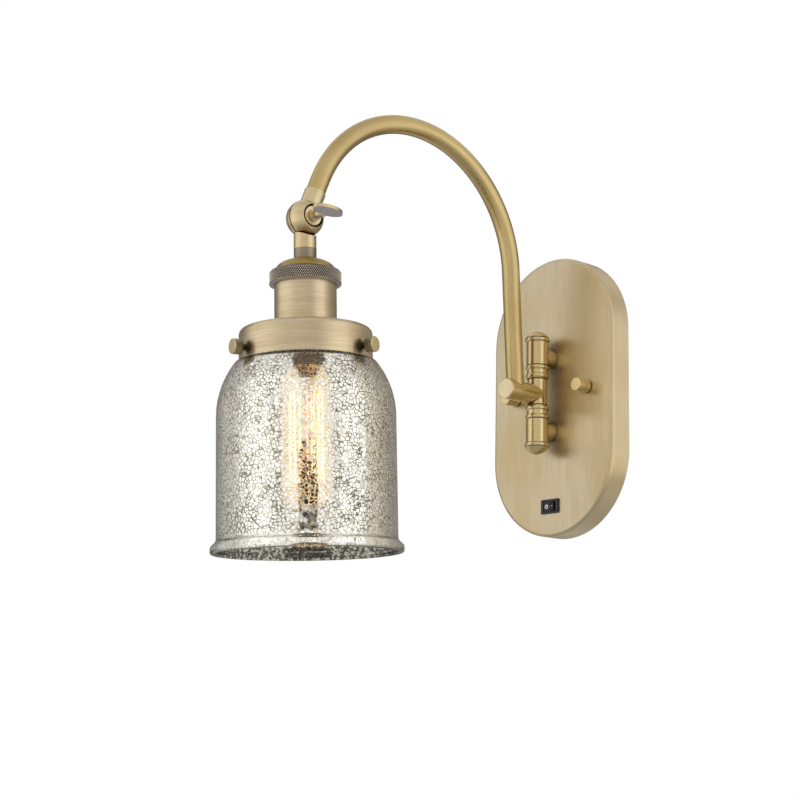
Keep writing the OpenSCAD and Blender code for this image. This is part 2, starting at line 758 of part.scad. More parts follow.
// Blown bell: lip over the screws, neck, ledge under the collar, round shoulder, wall and flared rim
module glass_shade() {
    lip_edge = 0.9;
    fillet = 1;
    bow_c = [bow_r, -bell_mid_s];
    inner_bow = bell_bow - glass_t;
    neck_in = glass_neck_r - glass_t;
    fillet_c = [glass_neck_r + fillet, -ledge_s + fillet];
    a0 = acos((ledge_r - bow_r) / (bell_bow - ledge_edge));
    b0 = asin((bell_mid_s - ledge_s - glass_t) / inner_bow);
    flare_r = 4.2;
    rim_r = rim_dia / 2;
    out = (rim_r - bell_r) / 3.7;
    flare_s = rim_s - rim_h;
    function flare(r, a0, a1) = [for (i = [0 : 6]) let (a = a0 + (a1 - a0) * i / 6)
        [bell_r + flare_r - r + r * out * (1 - cos(a)), -flare_s - r * sin(a)]];
    shoulder = [for (i = [0 : 3]) let (a = 45 - 15 * i)
        [rim_r - 2 * out * (1 - cos(a)), -rim_s + 3.4 + 2 * sin(a)]];
    color([0.78, 0.78, 0.7, 0.6]) on_head() rotate_extrude() polygon(concat(
        [[neck_in, -glass_s], [lip_r - lip_edge, -glass_s], [lip_r, -glass_s - lip_edge],
            [lip_r, -glass_s - lip_h + lip_edge], [glass_neck_r, -glass_s - lip_h]],
        arc(fillet_c, fillet, 180, 270, 3),
        arc([ledge_r, -ledge_s - ledge_edge], ledge_edge, 90, a0 + 8, 4),
        arc(bow_c, bell_bow, a0, 0, 18),
        flare(flare_r, 0, 62),
        shoulder,
        arc([rim_r - 1.4, -rim_s + 1.4], 1.4, 0, -90, 4),
        arc([rim_r - 2.4, -rim_s + 1.2], 1.2, -90, -170, 4),
        flare(flare_r + glass_t, 50, 0),
        arc(bow_c, inner_bow, 0, b0, 18),
        arc(fillet_c, fillet + glass_t, 270, 180, 5)));
}

module bulb_cap() {
    skin_r = cap_r - cap_wall;
    tip_r = 5;
    color(brass) on_head() turned([[0, cap_s - contact_h], [tip_r - 0.5, cap_s - contact_h], [tip_r, cap_s],
        [cap_r - 3, cap_s + 0.5], [cap_r, cap_s + 3.5], [cap_r, cap_end_s], [skin_r, cap_end_s],
        [skin_r, cap_s + 4], [0, cap_s + 1.6]]);
}

// Tubular envelope with a rounded end
module bulb_glass() {
    end_s = cap_end_s + bulb_len;
    fillet = 9;
    start = acos((bulb_neck_r - bulb_r + fillet) / fillet);
    function skin(a) = concat([[bulb_neck_r - a, -bulb_s]],
        arc([bulb_r - fillet - a, -cap_end_s - 1 - fillet], fillet, start, 0, 6),
        arc([0, -end_s + bulb_r], bulb_r - a, 0, -90, 12));
    color([0.95, 0.9, 0.8, 0.3]) on_head() rotate_extrude() difference() {
        polygon(concat([[0, -bulb_s]], skin(0)));
        polygon(concat([[0, -bulb_s + past], [bulb_neck_r - bulb_t, -bulb_s + past]], skin(bulb_t)));
    }
}

// Glass post with hooks that stands in the neck of the envelope
module bulb_stem() {
    post_r = 1.6;
    hook_r = 0.25;
    seat_r = bulb_neck_r - bulb_t - run;
    color([0.9, 0.9, 0.85, 0.5]) on_head() {
        turned([[0, bulb_s], [seat_r, bulb_s], [seat_r, bulb_s + 3], [5, cap_end_s + 6],
            [2 * post_r, cage_s0 - 4], [post_r, cage_s0], [post_r, cage_s1], [0, cage_s1 + 1]]);
        for (s = [cage_s0, cage_s1]) translate([0, 0, -s]) for (i = [0 : legs - 1])
            rotate([0, 0, (i + 0.5) * 360 / legs]) rod_x(hook_r, post_r - hook_r, cage_r - leg_r - run);
    }
}

// Legs of the filament, looped over the hooks of the stem
module bulb_filament() {
    half = cage_r * sin(180 / legs);
    color("#ffb860") on_head() for (i = [0 : legs - 1]) rotate([0, 0, (i + 0.5) * 360 / legs]) {
        translate([cage_r, 0, -cage_s1 - leg_r]) cylinder(r = leg_r, h = cage_s1 - cage_s0 + 2 * leg_r);
        rotate([0, 0, -180 / legs])
            translate([cage_r * cos(180 / legs), half, i % 2 == 0 ? -cage_s0 : -cage_s1])
                rotate([90, 0, 0]) cylinder(r = leg_r - run, h = 2 * half);
    }
}

// Screw with a knurled head that holds the glass
module thumbscrew(i) {
    head_r0 = collar_dia / 2 + 2.6;
    edge = 0.5;
    color(brass) on_head() rotate([0, 0, thumb_turn + 120 * i]) translate([0, 0, -thumb_s]) rotate([0, 90, 0])
        rotate_extrude() polygon([[0, glass_neck_r + 0.3], [thumb_thread_r, glass_neck_r + 0.3],
            [thumb_thread_r, head_r0], [thumb_r - edge, head_r0], [thumb_r, head_r0 + edge],
            [thumb_r, thumb_reach - edge], [thumb_r - edge, thumb_reach], [0, thumb_reach]]);
}

module thumbscrew_right() { thumbscrew(0); }
module thumbscrew_back() { thumbscrew(1); }
module thumbscrew_left() { thumbscrew(2); }

backplate();
mounting_bracket();
mounting_studs();
ground_screw();
upper_knuckle();
lower_knuckle();
upper_finial();
lower_finial();
hinge_pin();
hinge_washers();
post_nuts();
switch_housing();
switch_terminals();
switch_rocker();
knob_left();
knob_right();
hinge_tee();
barrel_cap();
arm_tube();
arm_swivel_half();
swivel_bushing();
swivel_washer();
wing_nut();
neck_swivel_half();
swivel_stud();
neck_ring();
socket_nipple();
socket_dome();
knurled_ring();
socket_cup();
lampholder();
screw_shell();
centre_contact();
fitter_collar();
retaining_ring();
glass_shade();
bulb_cap();
bulb_glass();
bulb_stem();
bulb_filament();
thumbscrew_right();
thumbscrew_back();
thumbscrew_left();
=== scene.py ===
"""Looks of the swing arm wall lamp: brushed brass, mercury glass bell and filament bulb."""

import json
import math

import bmesh
import bpy
from mathutils import Matrix, Vector


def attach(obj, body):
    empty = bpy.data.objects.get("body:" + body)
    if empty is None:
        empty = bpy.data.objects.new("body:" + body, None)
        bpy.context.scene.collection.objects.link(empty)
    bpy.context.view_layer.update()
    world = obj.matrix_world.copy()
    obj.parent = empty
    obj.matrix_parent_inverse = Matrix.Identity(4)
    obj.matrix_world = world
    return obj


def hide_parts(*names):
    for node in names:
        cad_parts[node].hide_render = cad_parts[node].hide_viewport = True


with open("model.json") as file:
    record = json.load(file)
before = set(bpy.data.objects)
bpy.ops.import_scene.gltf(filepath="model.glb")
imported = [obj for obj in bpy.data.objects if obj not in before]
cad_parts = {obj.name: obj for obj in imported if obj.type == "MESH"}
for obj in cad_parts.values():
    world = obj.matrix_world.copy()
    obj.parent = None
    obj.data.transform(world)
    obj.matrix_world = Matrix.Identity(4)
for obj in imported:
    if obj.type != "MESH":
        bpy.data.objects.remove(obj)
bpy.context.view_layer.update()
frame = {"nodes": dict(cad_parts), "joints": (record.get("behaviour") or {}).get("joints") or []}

NODES = frame["nodes"]
JOINTS = {j["name"]: j for j in frame["joints"]}
MM = 0.001

# The camera, fitted to the photograph: its place, its axes and its focal length in pixels
IMAGE_SIDE = 800
FOCAL_PIXELS = 1593
SENSOR_MM = 36
NEAREST = 0.01
CAMERA_AT = Vector((0.785095, -0.822057, -0.240115))
CAMERA_AHEAD = Vector((-0.747836, 0.631411, 0.205089))
CAMERA_RIGHT = Vector((0.648500, 0.760893, 0.022114))

# The head's own axes: x sideways, y across, z up its own axis from the middle of the ball
BALL = Vector(JOINTS["head_tilt"]["pos_m"])
SCREW_A = Vector(JOINTS["thumbscrew_right_turn"]["axis"])
SCREW_B = Vector(JOINTS["thumbscrew_back_turn"]["axis"])
HEAD_UP = SCREW_A.cross(SCREW_B).normalized()
HEAD_X = Vector((1, 0, 0))
HEAD_Y = HEAD_UP.cross(HEAD_X)
HEAD = Matrix((
    (HEAD_X.x, HEAD_Y.x, HEAD_UP.x, BALL.x),
    (HEAD_X.y, HEAD_Y.y, HEAD_UP.y, BALL.y),
    (HEAD_X.z, HEAD_Y.z, HEAD_UP.z, BALL.z),
    (0, 0, 0, 1),
))

# Middles of the hinge, of the arm's bend and of the whole lamp
HINGE = Vector((0, -0.0313, 0))
BEND_MID, BEND_RADIUS = Vector((0, -0.147527, 0.078464)), 0.0892
LAMP_MIDDLE = Vector((0, -0.15, 0))


def make_camera():
    data = bpy.data.cameras.new("camera")
    data.sensor_width = SENSOR_MM
    data.lens = FOCAL_PIXELS / IMAGE_SIDE * SENSOR_MM
    data.clip_start = NEAREST
    ahead = CAMERA_AHEAD.normalized()
    up = CAMERA_RIGHT.cross(ahead).normalized()
    right = ahead.cross(up)
    camera = bpy.data.objects.new("camera", data)
    camera.matrix_world = Matrix((
        (right.x, up.x, -ahead.x, CAMERA_AT.x),
        (right.y, up.y, -ahead.y, CAMERA_AT.y),
        (right.z, up.z, -ahead.z, CAMERA_AT.z),
        (0, 0, 0, 1),
    ))
    bpy.context.scene.collection.objects.link(camera)
    bpy.context.scene.camera = camera


# ---- node trees ----

BEVEL_SAMPLES = 4
OPENNESS_SAMPLES = 8
GREY = (0.5, 0.5, 0.5)


class Graph:
    """Short calls for building one node tree."""

    def __init__(self, tree):
        self.tree = tree
        tree.nodes.clear()

    def put(self, socket, value):
        if isinstance(value, bpy.types.NodeSocket):
            self.tree.links.new(value, socket)
        else:
            socket.default_value = value

    def node(self, kind, **inputs):
        """A node of that kind; inputs are linked when they are sockets and set when they are values."""
        made = self.tree.nodes.new("ShaderNode" + kind)
        for name, value in inputs.items():
            key = int(name[1:]) if name[0] == "i" and name[1:].isdigit() else name.replace("_", " ")
            self.put(made.inputs[key], value)
        return made

    def math(self, operation, a, b=0.0):
        made = self.node("Math", i0=a, i1=b)
        made.operation = operation
        return made.outputs[0]

    def vector(self, operation, a, b=(0, 0, 0)):
        """Vector maths; the fourth input is the number of SCALE, and the second output is a number."""
        made = self.node("VectorMath", i0=a)
        made.operation = operation
        self.put(made.inputs[3 if operation == "SCALE" else 1], b)
        return made.outputs[1 if operation in ("DOT_PRODUCT", "LENGTH") else 0]

    def ramp(self, value, low, high, to_low=0.0, to_high=1.0):
        made = self.node("MapRange", Value=value, From_Min=low, From_Max=high,
                         To_Min=to_low, To_Max=to_high)
        made.interpolation_type = "SMOOTHSTEP"
        return made.outputs[0]

    def mix(self, factor, a, b):
        """Colour mix: sockets 0, 6 and 7 are its factor and its two colours, output 2 is its colour."""
        made = self.tree.nodes.new("ShaderNodeMix")
        made.data_type = "RGBA"
        for key, value in ((0, factor), (6, a), (7, b)):
            self.put(made.inputs[key], value)
        return made.outputs[2]

    def mix_shaders(self, factor, first, second):
        return self.node("MixShader", i0=factor, i1=first.outputs[0], i2=second.outputs[0])

    def point(self):
        return self.tree.nodes.new("ShaderNodeTexCoord").outputs["Object"]

    def geometry(self, output):
        return self.tree.nodes.new("ShaderNodeNewGeometry").outputs[output]

    def noise(self, vector, scale, detail=2.0, roughness=0.5):
        made = self.node("TexNoise", Vector=vector, Scale=scale, Detail=detail, Roughness=roughness)
        return made.outputs[0]

    def rounded(self, radius):
        """The surface's direction with its edges rounded by that radius."""
        made = self.node("Bevel", Radius=radius)
        made.samples = BEVEL_SAMPLES
        return made.outputs[0]

    def edge(self, rounded, low, high):
        """1 on the edges, where the rounded direction turns away from the surface's own."""
        return self.ramp(self.vector("DOT_PRODUCT", rounded, self.geometry("Normal")), low, high)

    def openness(self, distance):
        """1 on open faces, less in gaps narrower than that distance."""
        made = self.node("AmbientOcclusion", Distance=distance)
        made.samples = OPENNESS_SAMPLES
        return made.outputs["AO"]


def colour(red, green, blue):
    """Linear colour of a screen colour given in steps of 0 to 255."""
    def linear(step):
        c = step / 255
        return c / 12.92 if c <= 0.04045 else ((c + 0.055) / 1.055) ** 2.4
    return (linear(red), linear(green), linear(blue), 1)


def shade(tone, factor):
    return tuple(factor * c for c in tone[:3]) + (1,)


def new_material(name):
    material = bpy.data.materials.new(name)
    material.use_nodes = True
    return material, Graph(material.node_tree)


def finish_material(graph, shader):
    output = graph.tree.nodes.new("ShaderNodeOutputMaterial")
    graph.tree.links.new(shader.outputs[0], output.inputs[0])


FINE = 1500             # brush lines per metre across the grain
SLOW = 45               # and along it
BROAD = 0.22            # the broad marks' lines, as a share of the fine ones'
RUBBED_EDGE = 0.00035   # width of the bright rubbed edges of the brass
SCRATCH = 0.00004       # depth of the brush lines
FLAKES = 410            # silver flakes per metre


def split_by_axis(g, at, axis):
    """A point's way from `at`, its length along the axis, and what of it lies across the axis."""
    away = g.vector("SUBTRACT", g.point(), tuple(at))
    along = g.vector("DOT_PRODUCT", away, tuple(axis))
    return away, along, g.vector("SUBTRACT", away, g.vector("SCALE", tuple(axis), along))


def turned_grain(at, axis):
    """Grain of a piece turned on a lathe: rings round the axis through that point."""
    def build(g):
        away, along, flat = split_by_axis(g, at, axis)
        across = g.math("MULTIPLY", g.math("ADD", along, g.vector("LENGTH", flat)), FINE)
        lines = g.vector("ADD", g.vector("SCALE", flat, SLOW), g.vector("SCALE", tuple(axis), across))
        return lines, g.vector("CROSS_PRODUCT", tuple(axis), away)
    return build


def straight_grain(direction):
    """Grain of straight brushing along one direction."""
    def build(g):
        point = g.point()
        along = g.vector("DOT_PRODUCT", point, direction)
        lines = g.vector("SUBTRACT", g.vector("SCALE", point, FINE),
                         g.vector("SCALE", direction, g.math("MULTIPLY", along, FINE - SLOW)))
        return lines, g.vector("ADD", direction, (0, 0, 0))
    return build


def arm_grain(g):
    """Grain along the bent arm: upright below the bend, then round its middle."""
    away = g.vector("SUBTRACT", g.point(), tuple(BEND_MID))
    split = g.node("SeparateXYZ", Vector=away)
    above = g.math("MAXIMUM", split.outputs[2], 0.0)
    below = g.math("MINIMUM", split.outputs[2], 0.0)
    spoke = g.node("CombineXYZ", Y=split.outputs[1], Z=above).outputs[0]
    turn = g.math("ARCTAN2", above, split.outputs[1])
    along = g.math("ADD", g.math("MULTIPLY", turn, BEND_RADIUS), below)
    lines = g.node("CombineXYZ", X=g.math("MULTIPLY", split.outputs[0], FINE),
                   Y=g.math("MULTIPLY", g.vector("LENGTH", spoke), FINE),
                   Z=g.math("MULTIPLY", along, SLOW))
    return lines.outputs[0], g.vector("CROSS_PRODUCT", (1, 0, 0), spoke)


def facing_side(g, direction):
    """1 on the faces that look in that direction of the piece's own frame."""
    own = g.tree.nodes.new("ShaderNodeTexCoord").outputs["Normal"]
    return g.ramp(g.vector("DOT_PRODUCT", own, tuple(direction)), 0.86, 0.96)


def brushed_metal(name, base, grain, rough, marks, tarnish_and_shade=0.7, stretch=0.6, crevice=0.003, bright=1.12,
                  deep=(58, 42, 22), warm=0.3, cloud_scale=30.0, under=None):
    """Brushed metal: fine lines along the grain, slow warm clouds, worn bright edges, and crevices and
    nearby gaps darkened, partly by tarnish and partly by painted shade.

    Faces towards the direction `under` get a dull grey, less metallic colour: a painted reflection of
    the grey they face."""
    material, g = new_material(name)
    lines, along = grain(g)
    brush = g.noise(lines, 1.0, 3.0, 0.62)
    broad = g.noise(g.vector("SCALE", lines, BROAD), 1.0)
    point = g.point()
    cloud = g.noise(point, cloud_scale)
    aged = (base[0] * 0.88, base[1] * 0.8, base[2] * 0.6, 1)
    tone = g.mix(g.ramp(cloud, 0.34, 0.66, 0.0, warm), base, aged)
    tone = g.mix(g.ramp(brush, 0.32, 0.68, 0.0, 0.3 * marks), tone, shade(base, 0.62))
    tone = g.mix(g.ramp(broad, 0.42, 0.7, 0.0, 0.26 * marks), tone, shade(aged, 0.74))
    soft = g.rounded(RUBBED_EDGE)
    tone = g.mix(g.math("MULTIPLY", g.edge(soft, 0.97, 0.88), 0.6), tone, shade(base, bright))
    # Darkens crevices and gaps next to other parts: partly tarnish in the hollows, partly painted shade
    hollow_tarnish_shade = g.ramp(g.openness(crevice), 0.74, 0.25, 0.0, tarnish_and_shade)
    tone = g.mix(hollow_tarnish_shade, tone, colour(*deep))
    roughness = g.math("ADD", g.ramp(brush, 0.3, 0.7, rough - 0.05, rough + 0.07),
                       g.ramp(g.noise(point, 1100.0), 0.3, 0.7, -0.02, 0.03))
    roughness = g.math("ADD", roughness, g.math("MULTIPLY", hollow_tarnish_shade, 0.25))
    bump = g.node("Bump", Strength=0.2 * marks, Distance=SCRATCH, Height=brush, Normal=soft)
    shader = g.node("BsdfPrincipled", Base_Color=tone, Metallic=1.0, Roughness=roughness,
                    Normal=bump.outputs[0], Anisotropic=stretch, Anisotropic_Rotation=0.25,
                    Tangent=along)
    if under:
        facing_mask = facing_side(g, under)
        painted_underside_grey = g.mix(cloud, colour(172, 168, 170), colour(192, 188, 190))
        g.put(shader.inputs["Base Color"], g.mix(facing_mask, tone, painted_underside_grey))
        g.put(shader.inputs["Metallic"], g.math("SUBTRACT", 1.0, g.math("MULTIPLY", facing_mask, 0.85)))
    finish_material(g, shader)
    return material


def along_and_out(g, at, axis):
    """How far a point lies along an axis, and how far out from it, in millimetres."""
    _, along, flat = split_by_axis(g, at, axis)
    return g.math("MULTIPLY", along, 1 / MM), g.math("MULTIPLY", g.vector("LENGTH", flat), 1 / MM)


def knurled_metal(name, base, at, axis, radii, band, edge, under, dull):
    """Dark metal with a knurled band and a bright edge.

    Radii are those of the knurling's valleys and peaks; valleys are painted dark and peaks bright,
    partly worn peaks and tarnish, partly painted shade and highlight. The band and the edge are given
    by where they start and end along the axis, the edge by its colour too. The end face has the colour
    `under`, and
    `dull` says how much less metallic it is."""
    material, g = new_material(name)
    along, out = along_and_out(g, at, axis)
    step = 0.05
    valley, depth = radii[0], radii[1] - radii[0]
    peak_wear_and_highlight = g.ramp(out, valley + 0.36 * depth, valley + 0.86 * depth)
    knurled = g.math("MULTIPLY", g.ramp(along, band[0], band[0] + step),
                     g.ramp(along, band[1], band[1] - step))
    point = g.point()
    plain = g.mix(g.ramp(g.noise(point, 160.0, 3.0), 0.35, 0.65), base, shade(base, 0.78))
    # Valleys near-black and peaks brighter than any metal: partly worn peaks and tarnish, partly
    # painted shade and highlight
    tone = g.mix(knurled, plain, g.mix(peak_wear_and_highlight, shade(base, 0.13), shade(base, 4.2)))
    plated = g.math("MULTIPLY", g.ramp(along, edge[0], edge[0] + step),
                    g.ramp(along, edge[1] + step, edge[1]))
    tone = g.mix(plated, tone, edge[2])
    facing_mask = facing_side(g, axis)
    tone = g.mix(facing_mask, tone, under)
    # Darkens the gaps: partly tarnish in the hollows, partly painted shade
    tone = g.mix(g.ramp(g.openness(0.0012), 0.8, 0.2, 0.0, 0.8), tone, colour(26, 20, 14))
    grain = g.noise(point, 1500.0, 3.0)
    roughness = g.math("ADD", g.ramp(grain, 0.3, 0.7, 0.28, 0.42), g.math("MULTIPLY", knurled, 0.06))
    bump = g.node("Bump", Strength=0.2, Distance=SCRATCH, Height=grain, Normal=g.rounded(0.00008))
    metallic = g.math("SUBTRACT", 1.0, g.math("MULTIPLY", facing_mask, dull)) if dull else 1.0
    finish_material(g, g.node("BsdfPrincipled", Base_Color=tone, Metallic=metallic, Roughness=roughness,
                              Normal=bump.outputs[0]))
    return material


def moulded(name, base, rough, grain_size=0.0004, depth=0.00003, metallic=0.0, cloud_size=0.02):
    """Cast, moulded or plated surface with a fine grain and worn edges."""
    material, g = new_material(name)
    point = g.point()
    grain = g.noise(point, 1 / grain_size)
    cloud = g.noise(point, 1 / cloud_size, 3.0)
    soft = g.rounded(0.0002)
    tone = g.mix(g.ramp(cloud, 0.35, 0.65), base, shade(base, 0.82))
    tone = g.mix(g.math("MULTIPLY", g.edge(soft, 0.995, 0.9), 0.35), tone, shade(base, 1.5))
    roughness = g.math("ADD", g.ramp(grain, 0.3, 0.7, rough - 0.06, rough + 0.06),
                       g.ramp(cloud, 0.3, 0.7, -0.04, 0.04))
    bump = g.node("Bump", Strength=0.4, Distance=depth, Height=grain, Normal=soft)
    finish_material(g, g.node("BsdfPrincipled", Base_Color=tone, Metallic=metallic, Roughness=roughness,
                              Normal=bump.outputs[0]))
    return material


def clear_glass(name, tint, rough, glow=None, strength=0.0):
    """Blown glass: clear, faintly wavy, with a few fine seeds."""
    material, g = new_material(name)
    point = g.point()
    ripple = g.noise(point, 90.0)
    seed = g.node("TexVoronoi", Vector=point, Scale=260.0)
    dot = g.ramp(seed.outputs["Distance"], 0.05, 0.11, 1.0, 0.0)
    height = g.math("ADD", ripple, g.math("MULTIPLY", dot, 0.2))
    bump = g.node("Bump", Strength=0.35, Distance=0.00016, Height=height)
    shader = g.node("BsdfPrincipled", Base_Color=g.mix(dot, tint, shade(tint, 0.9)), IOR=1.45,
                    Roughness=g.ramp(ripple, 0.3, 0.7, rough, rough + 0.03),
                    Transmission_Weight=1.0, Normal=bump.outputs[0])
    if glow:
        shader.inputs["Emission Color"].default_value = glow
        shader.inputs["Emission Strength"].default_value = strength
    finish_material(g, shader)
    return material


# Down the head's axis, in millimetres: where the painted shadow under the collar fades out on the film,
# and where the rim's flare starts, with finer veins
COLLAR_SHADOW_SPAN = (95.5, 98.0)
FLARE_START = (203.0, 206.5)


def silver_film(name):
    """Crackled silver: thin mirror flakes, and dull, partly clear veins that the bulb lights."""
    material, g = new_material(name)
    point = g.point()
    drift = g.node("TexNoise", Vector=point, Scale=700.0, Detail=3.0).outputs["Color"]
    warped = g.vector("ADD", point, g.vector("SCALE", g.vector("SUBTRACT", drift, GREY), 0.0015))
    edges = g.node("TexVoronoi", Vector=warped, Scale=FLAKES)
    edges.feature = "DISTANCE_TO_EDGE"
    cell = g.node("TexVoronoi", Vector=warped, Scale=FLAKES).outputs["Color"]
    kind = g.node("SeparateColor", Color=cell).outputs
    along, _ = along_and_out(g, BALL, -HEAD_UP)
    width = g.math("MULTIPLY", g.ramp(g.noise(point, 75.0, 3.0), 0.3, 0.7, 0.05, 0.12),
                   g.ramp(along, *FLARE_START, 1.0, 0.45))
    flake = g.ramp(g.math("DIVIDE", edges.outputs["Distance"], width), 0.6, 1.05)
    flake = g.math("MULTIPLY", flake, g.ramp(kind[2], 0.96, 0.98, 1.0, 0.6))
    clear_of_collar_shadow = g.ramp(along, *COLLAR_SHADOW_SPAN)
    back = g.geometry("Backfacing")

    tilt = g.vector("SCALE", g.vector("SUBTRACT", cell, GREY), 0.016)
    normal = g.vector("NORMALIZE", g.vector("ADD", g.geometry("Normal"), tilt))
    silver = g.mix(kind[0], colour(252, 250, 244), colour(232, 228, 218))
    # Painted shadow of the collar: the silver and the veins are darkened just below it
    silver = g.mix(clear_of_collar_shadow, colour(96, 88, 74), silver)
    inside = g.mix(g.ramp(g.noise(point, 420.0), 0.47, 0.55), colour(92, 84, 66), colour(226, 222, 208))
    mirror = g.node("BsdfPrincipled", Base_Color=g.mix(back, inside, silver), Metallic=1.0,
                    Roughness=g.ramp(kind[1], 0.0, 1.0, 0.04, 0.11), Normal=normal,
                    Alpha=g.ramp(kind[0], 0.6, 1.0, 1.0, 0.93))

    grit = g.noise(point, 2400.0)
    dull = g.mix(grit, colour(158, 151, 130), colour(198, 191, 172))
    dull = g.mix(clear_of_collar_shadow, colour(44, 38, 30), dull)
    front = g.node("BsdfPrincipled", Base_Color=g.mix(back, colour(58, 51, 38), dull), Metallic=1.0,
                   Roughness=g.ramp(grit, 0.3, 0.7, 0.42, 0.6),
                   Alpha=g.ramp(grit, 0.3, 0.7, 0.35, 0.55))
    through = g.node("BsdfTranslucent", Color=g.mix(grit, colour(226, 218, 196), colour(250, 244, 228)))
    finish_material(g, g.mix_shaders(flake, g.mix_shaders(0.36, front, through), mirror))
    return material


def glow_wire(name, tone, strength):
    """Glowing wire, a little uneven along its length."""
    material, g = new_material(name)
    uneven = g.ramp(g.noise(g.point(), 160.0), 0.3, 0.7)
    hot = g.mix(uneven, tone, (tone[0], tone[1] * 0.82, tone[2] * 0.6, 1))
    finish_material(g, g.node("BsdfPrincipled", Base_Color=hot, Roughness=0.5, Emission_Color=hot,
                              Emission_Strength=strength))
    return material


# ---- pieces in mesh code ----

def new_piece(name, mesh_builder, body, material, smooth_degrees, place):
    """An object from a function that fills a bmesh, smoothed except at sharp edges."""
    mesh = bpy.data.meshes.new(name)
    bm = bmesh.new()
    mesh_builder(bm)
    bmesh.ops.recalc_face_normals(bm, faces=bm.faces)
    bm.transform(place)
    for face in bm.faces:
        face.smooth = True
    for e in bm.edges:
        if len(e.link_faces) == 2 and e.calc_face_angle(0) > math.radians(smooth_degrees):
            e.smooth = False
    bm.to_mesh(mesh)
    bm.free()
    mesh.materials.append(material)
    piece = bpy.data.objects.new(name, mesh)
    bpy.context.scene.collection.objects.link(piece)
    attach(piece, body)
    return piece


def join_rings(bm, low, high):
    """A band of faces between two rings of as many points."""
    for k in range(len(low)):
        n = (k + 1) % len(low)
        bm.faces.new((low[k], low[n], high[n], high[k]))


def lathe(bm, rows, closed=True, height=lambda row, turn: 0.0, count=128):
    """Turned mesh from rows (radius, z) in millimetres; height(row, turn) moves a point outward."""
    rings = []
    for i, (r, z) in enumerate(rows):
        ring = []
        for k in range(count):
            a = 2 * math.pi * k / count
            reach = (r + height(i, k / count)) * MM
            ring.append(bm.verts.new((reach * math.cos(a), reach * math.sin(a), z * MM)))
        rings.append(ring)
    pairs = list(zip(rings, rings[1:]))
    if closed:
        pairs.append((rings[-1], rings[0]))
    for low, high in pairs:
        join_rings(bm, low, high)
    return rings


def arc(middle, radius, start, end, steps):
    turns = [math.radians(start + (end - start) * i / steps) for i in range(steps + 1)]
    return [(middle[0] + radius * math.cos(a), middle[1] + radius * math.sin(a)) for a in turns]


# Knurled ring, in millimetres: places down the head's axis from the ball, radii, and the number and
# the depth of its diamonds
KNURL_TOP, KNURL_END, KNURL_R, KNURL_DIAMONDS = 34.2, 43.8, 23.0, 104
BAND_TOP, BAND_END, BAND_ROWS, DIAMOND_DEPTH = 37.0, 43.0, 22, 0.5
ROWS_PER_DIAMOND = 8
CROWN_R, CROWN_DROP, CROWN_FLAT, CROWN_LIFT = 4.2, 3.2, 0.72, 1.0
BORE_R, BORE_STEP_R, BORE_STEP_S = 19.95, 19.3, 38.2


def build_knurled_ring(bm):
    band = [(KNURL_R, -(BAND_TOP + (BAND_END - BAND_TOP) * i / BAND_ROWS))
            for i in range(BAND_ROWS + 1)]
    crown = arc((KNURL_R - CROWN_R, -(KNURL_TOP + CROWN_DROP)), CROWN_R, 90, 18, 10)
    crown = [(r, (z + KNURL_TOP - CROWN_LIFT) * CROWN_FLAT - KNURL_TOP) for r, z in crown]
    lip = [(KNURL_R - 0.4, -BAND_END - 0.12), (KNURL_R - 0.05, -BAND_END - 0.2)]
    lip += arc((KNURL_R - 0.5, -(KNURL_END - 0.45)), 0.45, 0, -90, 4)
    bore = [(BORE_R, -KNURL_END), (BORE_R, -BORE_STEP_S),
            (BORE_STEP_R, -BORE_STEP_S + 0.1), (BORE_STEP_R, -KNURL_TOP - 0.4)]
    first = len(crown)

    def height(row, turn):
        step = row - first
        if not 0 <= step <= BAND_ROWS:
            return 0.0
        u, v = turn * KNURL_DIAMONDS, step / ROWS_PER_DIAMOND
        rise = 1 - max(abs((u + v) % 1 - 0.5), abs((u - v) % 1 - 0.5)) * 2
        return -DIAMOND_DEPTH * (1 - rise)

    lathe(bm, crown + band + lip + bore, height=height, count=4 * KNURL_DIAMONDS)


# Thumbscrews, in millimetres: place down the head's axis, radii, and reach from that axis
THUMB_S, THUMB_R, THUMB_HEAD, THUMB_END = 87.8, 4.9, 44.8, 51.2
THUMB_RIDGES, RIDGE_DEPTH, RIDGE_ROWS, RIDGE_STEP = 44, 0.3, 7, 0.7
THREAD_START, THREAD_PITCH, THREAD_CORE, THREAD_R, THREAD_NECK = 39.7, 0.6, 1.7, 2.0, 1.9
END_R = 0.02    # radius of the flat ends' innermost ring


def build_thumbscrew(bm):
    thread = []
    z = THREAD_START
    while z < THUMB_HEAD - 0.7:
        thread += [(THREAD_CORE, z), (THREAD_R, z + 0.2), (THREAD_CORE, z + 0.4)]
        z += THREAD_PITCH
    body = [(THUMB_R - 0.9, THUMB_HEAD), (THUMB_R - 0.25, THUMB_HEAD + 0.45)]
    body += [(THUMB_R, THUMB_HEAD + 0.9 + RIDGE_STEP * i) for i in range(RIDGE_ROWS)]
    cap = [(THUMB_R - 0.1, THUMB_END - 0.8), (THUMB_R - 0.1, THUMB_END - 0.3),
           (THUMB_R - 0.4, THUMB_END), (THUMB_R - 2.4, THUMB_END), (END_R, THUMB_END)]
    shaft = [(END_R, THREAD_START - 0.1)] + thread + [(THREAD_NECK, THUMB_HEAD)]
    first = len(shaft) + len(body) - RIDGE_ROWS

    def height(row, turn):
        if not first <= row < first + RIDGE_ROWS:
            return 0.0
        return -RIDGE_DEPTH * abs((turn * THUMB_RIDGES) % 1 - 0.5) * 2

    rings = lathe(bm, shaft + body + cap, closed=False, height=height, count=4 * THUMB_RIDGES)
    bm.faces.new(rings[0])
    bm.faces.new(rings[-1])


